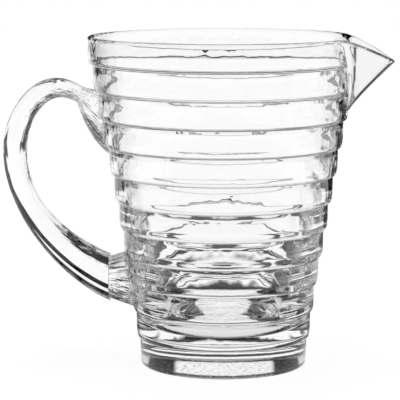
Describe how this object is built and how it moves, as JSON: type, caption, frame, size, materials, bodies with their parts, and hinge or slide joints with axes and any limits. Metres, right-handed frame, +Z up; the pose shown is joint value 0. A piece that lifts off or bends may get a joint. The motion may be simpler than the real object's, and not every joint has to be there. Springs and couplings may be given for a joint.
{
  "type": "glass jug",
  "caption": "Clear pressed glass jug with a stepped, ringed body that widens to the rim, a drawn pouring lip and an applied loop handle. Holds and pours cold drinks.",
  "frame": {"origin": "centre of the flat underside of the foot, on the axis of the body", "axes": "+Z up along the body's axis; +X towards the tip of the pouring lip; the handle is on -X"},
  "size_m": [0.2003, 0.138, 0.168],
  "materials": {
    "pressed_glass": "clear, fire-polished, with soft mould rings",
    "drawn_glass": "clear, drawn by hand, smooth"
  },
  "bodies": {
    "root": {"pressed_body": "pressed_glass", "pouring_lip": "pressed_glass", "handle_bow": "drawn_glass", "upper_handle_seal": "drawn_glass", "lower_handle_pad": "drawn_glass"}
  },
  "joints": []
}
